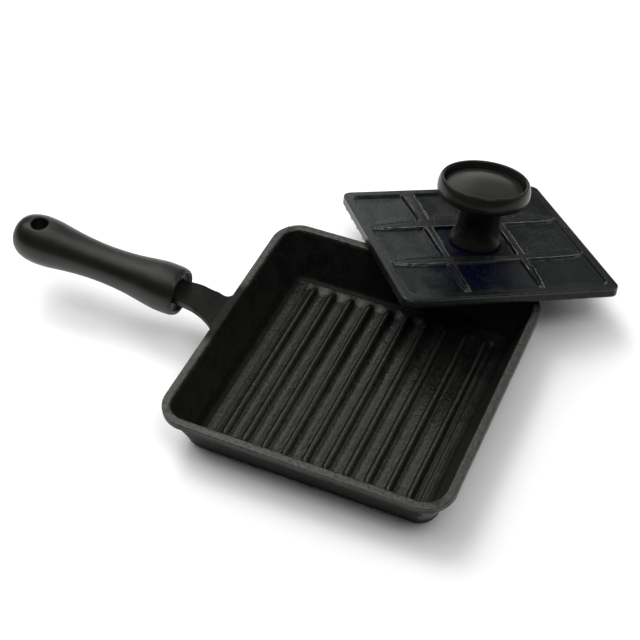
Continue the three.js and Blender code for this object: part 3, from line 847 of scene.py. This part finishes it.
def band(a, b, lo, hi, ends, meet, tip, both=True):
    """Distance to a rib that runs along a, between the curves lo(a) and hi(a), narrowing to a point at ends."""
    gl = np.clip((a - ends[0]) / tip[0], 0, 1) ** 0.5 if tip[0] else np.ones_like(a)
    gr = np.clip((ends[1] - a) / tip[1], 0, 1) ** 0.5 if tip[1] else np.ones_like(a)
    g = np.minimum(gl, gr)
    m = np.where(a < 0, meet[0], meet[1])
    h = m + (hi - m) * g
    l = m + (lo - m) * g
    return np.maximum(np.maximum(b - h, l - b), np.maximum(ends[0] - a, a - ends[1]))


def plate_ribs(u, v):
    at = [-54, -40, -25, -10, 8, 25, 40, 54]
    h1 = band(u, v, np.interp(u, at, [16.6, 15.4, 14.9, 14.8, 14.8, 15.0, 15.4, 16.2]), np.interp(u, at, [19.4, 20.6, 23.0, 25.6, 25.0, 22.8, 21.3, 20.2]),
              (-53.6, 53.6), (18.2, 18.2), (7.0, 6.0))
    h2 = band(u, v, np.interp(u, at, [-22.2, -23.6, -24.2, -24.2, -24.2, -24.0, -23.4, -22.4]), np.interp(u, at, [-18.6, -18.0, -18.0, -19.0, -19.2, -18.8, -18.6, -18.8]),
              (-53.6, 53.6), (-20.4, -20.4), (7.0, 6.0))
    at = [-52, -30, -10, 10, 30, 54]
    v1 = band(v, u, np.interp(v, at, [-23.6, -23.6, -23.4, -23.6, -23.8, -24.6]), np.interp(v, at, [-21.8, -20.8, -20.4, -19.6, -18.6, -17.8]),
              (-51.5, 60), (-22.7, -22.7), (6.0, 0))
    v2 = band(v, u, np.interp(v, at, [16.6, 16.8, 17.2, 17.8, 17.8, 17.6]), np.interp(v, at, [18.2, 19.8, 20.6, 21.4, 22.4, 23.2]),
              (-51.5, 60), (17.4, 17.4), (6.0, 0))
    return h1, h2, v1, v2


def plate_top(u, v):
    d = square_distance(u, v, RECESS_HALF, RECESS_R)
    h1, h2, v1, v2 = plate_ribs(u, v)
    ribs = np.minimum(np.minimum(h1, h2), np.minimum(v1, v2))
    pocket = np.maximum(d, -ribs)
    wide = np.where(d > -1.4, 1.1, 1.45)
    z = -RECESS_D * smooth(-pocket / wide)
    r = np.hypot(u, v)
    sag = 0.16 * smooth(-pocket / 9.0) * smooth((-d) / 6) * smooth((r - 16) / 6)
    fade = np.minimum(v1, v2) < np.minimum(h1, h2)
    low = np.where((ribs < 0.2) & (d < 0), 0.30 * smooth(-d / 3.0) + np.where(fade, 0.85 * smooth((-24 - v) / 22.0), 0), 0)
    crown = 0.12 * smooth(-ribs / 1.6) * smooth(-d / 2.0)
    return z - sag + crown - low * smooth(-ribs / 0.6)


def plate_bottom(u, v):
    c = (v / SEAR_PITCH) % 1.0
    c = np.abs(c - 0.5) * SEAR_PITCH                        # ribs at odd half pitches
    t = np.clip(c / SEAR_W, 0, 1)
    e = np.clip((np.abs(u) - (SEAR_HALF - 0.9)) / 2.2, 0, 1)
    rr = np.clip(1 - (t ** 2.3 + e ** 2.3), 0, 1)
    z = -PLATE_T - SEAR_H * rr ** 0.62
    boss = np.hypot(u, v) - 8.5
    return np.minimum(z, -PLATE_T - SEAR_H * smooth(-boss / 0.7 + 0.0))


def build_plate():
    s0 = 0.965
    half0, r0 = PLATE_HALF - 0.8, PLATE_R - 0.8
    k = ((half0 - r0) / s0 + 0.293 * r0)
    marks = [(0, 51.6, 0.5), (51.6, s0 * k, 0.27)]
    x = lines(marks, half0) / k
    ends = np.linspace(s0, 1, 8)[1:]
    S = np.concatenate([-ends[::-1], x, ends])
    levels = []
    for a in np.linspace(90, 0, 6)[1:]:
        levels.append((-0.8 + 0.8 * math.sin(math.radians(a)), PLATE_HALF - 0.8 + 0.8 * math.cos(math.radians(a)), PLATE_R - 0.8 + 0.8 * math.cos(math.radians(a))))
    for z in (-1.6, -2.6, -3.6):
        levels.append((z, PLATE_HALF - 0.03, PLATE_R))
    for a in np.linspace(0, -90, 6)[1:-1]:
        levels.append((-PLATE_T + 0.7 + 0.7 * math.sin(math.radians(a)), PLATE_HALF - 0.7 + 0.7 * math.cos(math.radians(a)), PLATE_R - 0.7 + 0.7 * math.cos(math.radians(a))))
    return square_solid("press_casting", S, S, s0, plate_top, (half0, r0), plate_bottom, (PLATE_HALF - 0.72, PLATE_R - 0.72), levels)


plate = build_plate()
thread = revolve("thread", [(0, -6.0), (SCREW_R - 0.4, -6.0), (SCREW_R + 0.3, -5.4), (SCREW_R + 0.3, -2.4), (SCREW_R + 0.9, -1.5), (SCREW_R + 0.9, 3), (0, 3)], 40)
plate = combine(plate, thread, "DIFFERENCE")
c = coords(plate) / MM
edge = square_distance(c[:, 0], c[:, 1], PLATE_HALF, PLATE_R)
body_in = (edge < -0.9)
c[body_in, 2] += uneven(c[body_in], 34.0, 0.9) * 0.05 + 0.012 * grit(c[body_in], 2.4, 6)
c[:, :2] *= (1 + 0.0006 * uneven(c, 60.0, 1.1))[:, None]
c[:, 0] = np.clip(c[:, 0], -PLATE_HALF + 0.03, PLATE_HALF - 0.03)
c[:, 1] = np.clip(c[:, 1], -PLATE_HALF + 0.03, PLATE_HALF - 0.03)
out = np.maximum(np.abs(c[:, :2]) - (PLATE_HALF - PLATE_R), 0)
reach = np.hypot(out[:, 0], out[:, 1])
turn = (out > 0).all(axis=1) & (reach > PLATE_R - 0.04)
c[turn, :2] -= (np.sign(c[:, :2]) * out * (1 - (PLATE_R - 0.04) / np.maximum(reach, 1e-6))[:, None])[turn]
up = c[:, 2] > -2.4
d = square_distance(c[:, 0], c[:, 1], RECESS_HALF, RECESS_R)
ribs4 = np.minimum.reduce(plate_ribs(c[:, 0], c[:, 1]))
pocket = np.maximum(d, -ribs4)
rim_edge = smooth(1 - np.abs(edge + 0.35) / 0.8)
recess_edge = smooth(1 - np.abs(pocket + 0.12) / 0.45)
wear_and_painted_highlight = np.where(up, 0.55 * rim_edge + 0.5 * recess_edge * (d > -1.5) + 0.35 * recess_edge * (d <= -1.5), 0.5 * smooth((-PLATE_T - 1.0 - c[:, 2]) / 0.5) + 0.3 * rim_edge)
attribute(plate, "wear_and_painted_highlight", wear_and_painted_highlight)
attribute(plate, "soot_and_painted_shade", np.where(c[:, 2] < -1.0, smooth((edge + 2.0) / 1.0), 0) * np.where(edge > -2.0, 0.9, 0))
t = np.clip((c[:, 0] * -12 + (c[:, 1] - 6) * -38) / (12 ** 2 + 38 ** 2), 0, 1)
knob_reflection_mask = smooth((27 - np.hypot(c[:, 0] + 12 * t, c[:, 1] - 6 + 38 * t)) / 14)              # painted reflection of the dark knob: pockets round the knob and in front of it made bluer and duller
behind = smooth((c[:, 0] - 22) / 5) * smooth((c[:, 1] - 20) / 5)
a = plate.data.attributes["soot_and_painted_shade"]
was = np.zeros(len(c), np.float32)
a.data.foreach_get("value", was)
# in the pockets the soot value is painted shade: a duller surface round, in front of and behind the knob that stands in
# for its dark reflection
attribute(plate, "soot_and_painted_shade", np.where(up & (pocket < 0), np.maximum(0.92 * knob_reflection_mask, 0.55 * behind) * smooth(-pocket / 1.2), was))
# pocket tint: a faint blue in every pocket, deepened to navy as a painted reflection of the knob round and in front of
# it
attribute(plate, "pocket", np.where(up, smooth(-pocket / 1.2) * (0.22 + 0.78 * knob_reflection_mask), 0))
plate.data.vertices.foreach_set("co", ((c @ PRESS_PLACE[:3, :3].T + PRESS_PLACE[:3, 3]) * MM).astype(np.float32).ravel())
plate.data.update()
shade(plate, 40)
# the pocket tint colour gives the faint blue of the pockets and the painted navy reflection of the knob
PLATE_IRON = cast_iron("plate_iron", (0.0034, 0.0036, 0.0034), (0.0062, 0.0066, 0.0061), rough=(0.17, 0.24), grain=0.30, sheen_mm=13.0, shine=(0.87, 1.0, 0.92), dull=(0.12, 0.03),
                       wear_and_highlight_colour=(0.024, 0.026, 0.026), tint=("pocket", (0.0008, 0.0010, 0.0052)))
give(plate, PLATE_IRON)
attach(plate, "press_body")
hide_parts("press_plate")

# --------------------------------------------------------------------- knob

foot = curve([(13.1, -1.45), (13.75, -1.3), (14.1, -0.75), (14.12, 0.0), (13.9, 0.8), (13.4, 1.9)], 6)
waist = curve([(13.4, 1.9), (12.6, 3.6), (11.85, 6.0), (11.3, 9), (11.05, 13), (11.15, 17), (11.9, 19.8), (13.9, 21.7), (17.8, 23.2), (21.6, 24.4),
               (23.7, 25.9), (24.5, 28.4), (24.45, 31.0), (23.95, 33.2), (23.3, 34.5), (22.75, 35.0), (22.2, 34.98), (21.75, 34.6), (21.45, 33.9)], 6)
dish = [(21.3, 33.0), (21.15, 31.2), (21.0, 30.4), (20.7, 30.0), (12.0, 30.0), (6.4, 30.0)]
inner = [(6.4, 29.5), (6.4, 17.3), (6.1, 17.0), (2.8, 17.0), (2.8, -1.1), (3.15, -1.45)]
knob_profile = [(0, -1.45)] + [tuple(p) for p in foot] + [tuple(p) for p in waist[1:]] + dish + inner


def ring_body(name, profile, segments, place=None):
    """Body turned about Z with a hole through it: a closed profile off the axis."""
    prof = np.array(profile, float)
    a = np.linspace(0, 2 * math.pi, segments, endpoint=False)
    v = np.stack([prof[:, 0, None] * np.cos(a), prof[:, 0, None] * np.sin(a), np.repeat(prof[:, 1, None], segments, 1)], -1).reshape(-1, 3)
    m = len(prof)
    idx = np.arange(m * segments).reshape(m, segments)
    nxt = np.roll(idx, -1, 0)
    q = np.stack([idx, np.roll(idx, -1, 1), np.roll(nxt, -1, 1), nxt], -1).reshape(-1, 4)
    return outward(mesh_object(name, v, q, place=place))


knob = ring_body("knob_moulding", knob_profile[1:], 128, PRESS_PLACE)
ip = np.linalg.inv(PRESS_PLACE)
k3 = coords(knob) / MM @ ip[:3, :3].T + ip[:3, 3]
kr, kz = np.hypot(k3[:, 0], k3[:, 1]), k3[:, 2]
# the strong lighter band round the foot's lower edge is a painted highlight; the lighter top lip is wear
attribute(knob, "wear_and_painted_highlight", 0.30 * smooth((kz - 34.2) / 0.7) + 0.9 * smooth(1 - np.abs(kz + 0.5) / 0.9) * (kr > 13.5))
shade(knob, 50)
KNOB_MAT = phenolic("knob_phenolic", (0.0070, 0.0070, 0.0064), (0.0100, 0.0100, 0.0092), rough=(0.25, 0.34), grain=0.5, spec=0.19, wear_and_highlight_colour=(0.02, 0.02, 0.018))
give(knob, KNOB_MAT)
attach(knob, "press_body")
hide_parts("knob_body")

cap_top = curve([(20.5, 30.75), (20.42, 31.1), (20.1, 31.4), (19.2, 31.72), (17.6, 32.17), (15.0, 32.78), (12.0, 33.36), (8, 33.93), (4, 34.28), (0.0, 34.4)], 6)
cap = revolve("knob_cap_disc", [(0, 30.3), (20.0, 30.3), (20.35, 30.42), (20.5, 30.7)] + [tuple(p) for p in cap_top], 128, PRESS_PLACE)
k3 = coords(cap) / MM @ ip[:3, :3].T + ip[:3, 3]
attribute(cap, "wear_and_painted_highlight", 0.4 * smooth(1 - np.abs(np.hypot(k3[:, 0], k3[:, 1]) - 20.2) / 0.6))
shade(cap, 50)
CAP_MAT = phenolic("cap_phenolic", (0.0060, 0.0060, 0.0054), (0.0095, 0.0095, 0.0085), rough=(0.30, 0.38), spec=0.56, grain=0.6, wear_and_highlight_colour=(0.02, 0.02, 0.019))
give(cap, CAP_MAT)
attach(cap, "press_body")
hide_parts("knob_cap")

# ---------------------------------------------------------------- fasteners


def screw(name, seat, tip, head_h, place):
    """Pan-head screw with a rolled thread and a hexagon socket; head below the seat."""
    prof = [(0, seat - head_h)] + [tuple(p) for p in curve([(SCREW_HEAD_R - 1.25, seat - head_h), (SCREW_HEAD_R - 0.75, seat - head_h + 0.12),
            (SCREW_HEAD_R - 0.25, seat - head_h * 0.6), (SCREW_HEAD_R, seat - 0.25)], 5)] + [(SCREW_HEAD_R, seat), (SCREW_R, seat)]
    z = seat + 0.6
    while z < tip - 1.2:
        prof += [(SCREW_R - 0.02, z), (SCREW_R - 0.32, z + 0.4)]
        z += 0.8
    prof += [(SCREW_R - 0.1, tip - 0.9), (SCREW_R - 0.7, tip), (0, tip)]
    ob = revolve(name, prof, 48, place)
    socket = revolve("socket", [(0, seat - head_h - 1), (1.75, seat - head_h - 1), (1.75, seat - head_h + 1.3), (0, seat - head_h + 1.7)], 6, place)
    ob = combine(ob, socket, "DIFFERENCE")
    return shade(ob, 30)


SCREW_STEEL = steel("screw_steel", (0.56, 0.56, 0.57))
WASHER_STEEL = steel("washer_steel", (0.40, 0.40, 0.41), (0.34, 0.5))
hs = screw("handle_screw_steel", -7.4 - 1.0 - 0.6, TANG_T / 2 - 0.2, 2.0, place_up(HANDLE_PLACE, (GRIP_SCREW_AT, 0, 0)))
give(hs, SCREW_STEEL)
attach(hs, "pan_body")
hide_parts("handle_screw")
for n, mat in (("handle_spring_washer", WASHER_STEEL), ("knob_washer", WASHER_STEEL), ("knob_spring_washer", WASHER_STEEL), ("knob_screw", SCREW_STEEL)):
    give(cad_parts[n], mat)

# -------------------------------------------------------------- camera, set

az, el, roll = math.radians(25.889), math.radians(46.750), math.radians(2.222)
back = Vector((math.sin(az) * math.cos(el), -math.cos(az) * math.cos(el), math.sin(el)))
zf = -back
xr = zf.cross(Vector((0, 0, 1))).normalized()
yd = zf.cross(xr)
cr, sr = math.cos(roll), math.sin(roll)
x2 = cr * xr + sr * yd
y2 = -sr * xr + cr * yd
cam_data = bpy.data.cameras.new("camera")
cam_data.lens = 77.115
cam_data.sensor_width = 36.0
cam_data.clip_start, cam_data.clip_end = 0.01, 50.0
cam = bpy.data.objects.new("camera", cam_data)
rot = Matrix((x2, -y2, -zf)).transposed()
cam.matrix_world = Matrix.Translation(Vector((0.18150, -0.41388, 0.53307))) @ rot.to_4x4()
bpy.context.scene.collection.objects.link(cam)
bpy.context.scene.camera = cam

# a sheet that ends where the lights still reach it, so the background past it stays as pale as the paper
floor = mesh_object("floor", [(-1350, -1350, -0.02), (1350, -1350, -0.02), (1350, 1350, -0.02), (-1350, 1350, -0.02)], [(0, 1, 2, 3)])
fm = Nodes("floor_paper")
fm.set(Base_Color=(0.90, 0.90, 0.90), Roughness=0.9)
fm.bsdf.inputs["Specular IOR Level"].default_value = 0.1
give(floor, fm.mat)


def softbox(elevation, azimuth, power, mirrored):
    """Square soft light on a dome of 2 m over the object; azimuth 0 is behind it, 270 at the handle.
    Flagged lights, the ones that aren't mirrored, only light the paper and the walls and are kept out of reflections."""
    e, a = math.radians(elevation), math.radians(azimuth)
    size = {8: 1.0125, 26: 0.972, 45: 0.72, 65: 0.78, 90: 0.8}[elevation]
    aim = Vector((0, 0.03, 0))
    at = aim + 2.0 * Vector((math.sin(a) * math.cos(e), math.cos(a) * math.cos(e), math.sin(e)))
    at.z = max(at.z, size / 2 * math.cos(e) + 0.02)
    d = bpy.data.lights.new("softbox_%d_%d_%s" % (elevation, azimuth, "key" if mirrored else "fill"), "AREA")
    d.shape = "SQUARE"
    d.size = size
    d.energy = power
    o = bpy.data.objects.new(d.name, d)
    o.location = at
    o.rotation_mode = "QUATERNION"
    o.rotation_quaternion = (aim - at).to_track_quat("-Z", "Y")
    o.visible_camera = False
    o.visible_glossy = mirrored
    bpy.context.scene.collection.objects.link(o)


SOFTBOXES = [
    (8, 0, 2.94, False),
    (8, 270, 11.76, False),
    (8, 300, 4.45, False),
    (8, 330, 2.41, True),
    (8, 330, 18.11, False),
    (26, 0, 0.78, True),
    (26, 60, 2.46, True),
    (26, 180, 0.23, True),
    (45, 40, 2.77, True),
    (45, 80, 0.31, True),
    (45, 80, 2.34, False),
    (45, 280, 6.46, True),
    (45, 320, 3.43, True),
    (45, 320, 3.37, False),
    (65, 0, 0.88, False),
    (65, 60, 1.06, False),
    (65, 120, 6.05, True),
    (65, 120, 6.63, False),
    (65, 180, 0.50, False),
    (65, 240, 3.89, True),
    (65, 300, 5.10, True),
    (65, 300, 11.94, False),
    (90, 0, 3.54, True),
    (90, 0, 3.62, False),
]
for e, a, power, mirrored in SOFTBOXES:
    softbox(e, a, power, mirrored)
world = bpy.data.worlds.new("studio")
world.use_nodes = True
wt = world.node_tree
wb = wt.nodes["Background"]
wb.inputs[0].default_value = (1, 1, 1, 1)
path = wt.nodes.new("ShaderNodeLightPath")
seen = wt.nodes.new("ShaderNodeMapRange")
wt.links.new(path.outputs["Is Camera Ray"], seen.inputs[0])
seen.inputs[3].default_value = 0.0
seen.inputs[4].default_value = 1.0
wt.links.new(seen.outputs[0], wb.inputs[1])
bpy.context.scene.world = world
bpy.context.scene.view_settings.view_transform = "Standard"
bpy.context.scene.view_settings.look = "None"
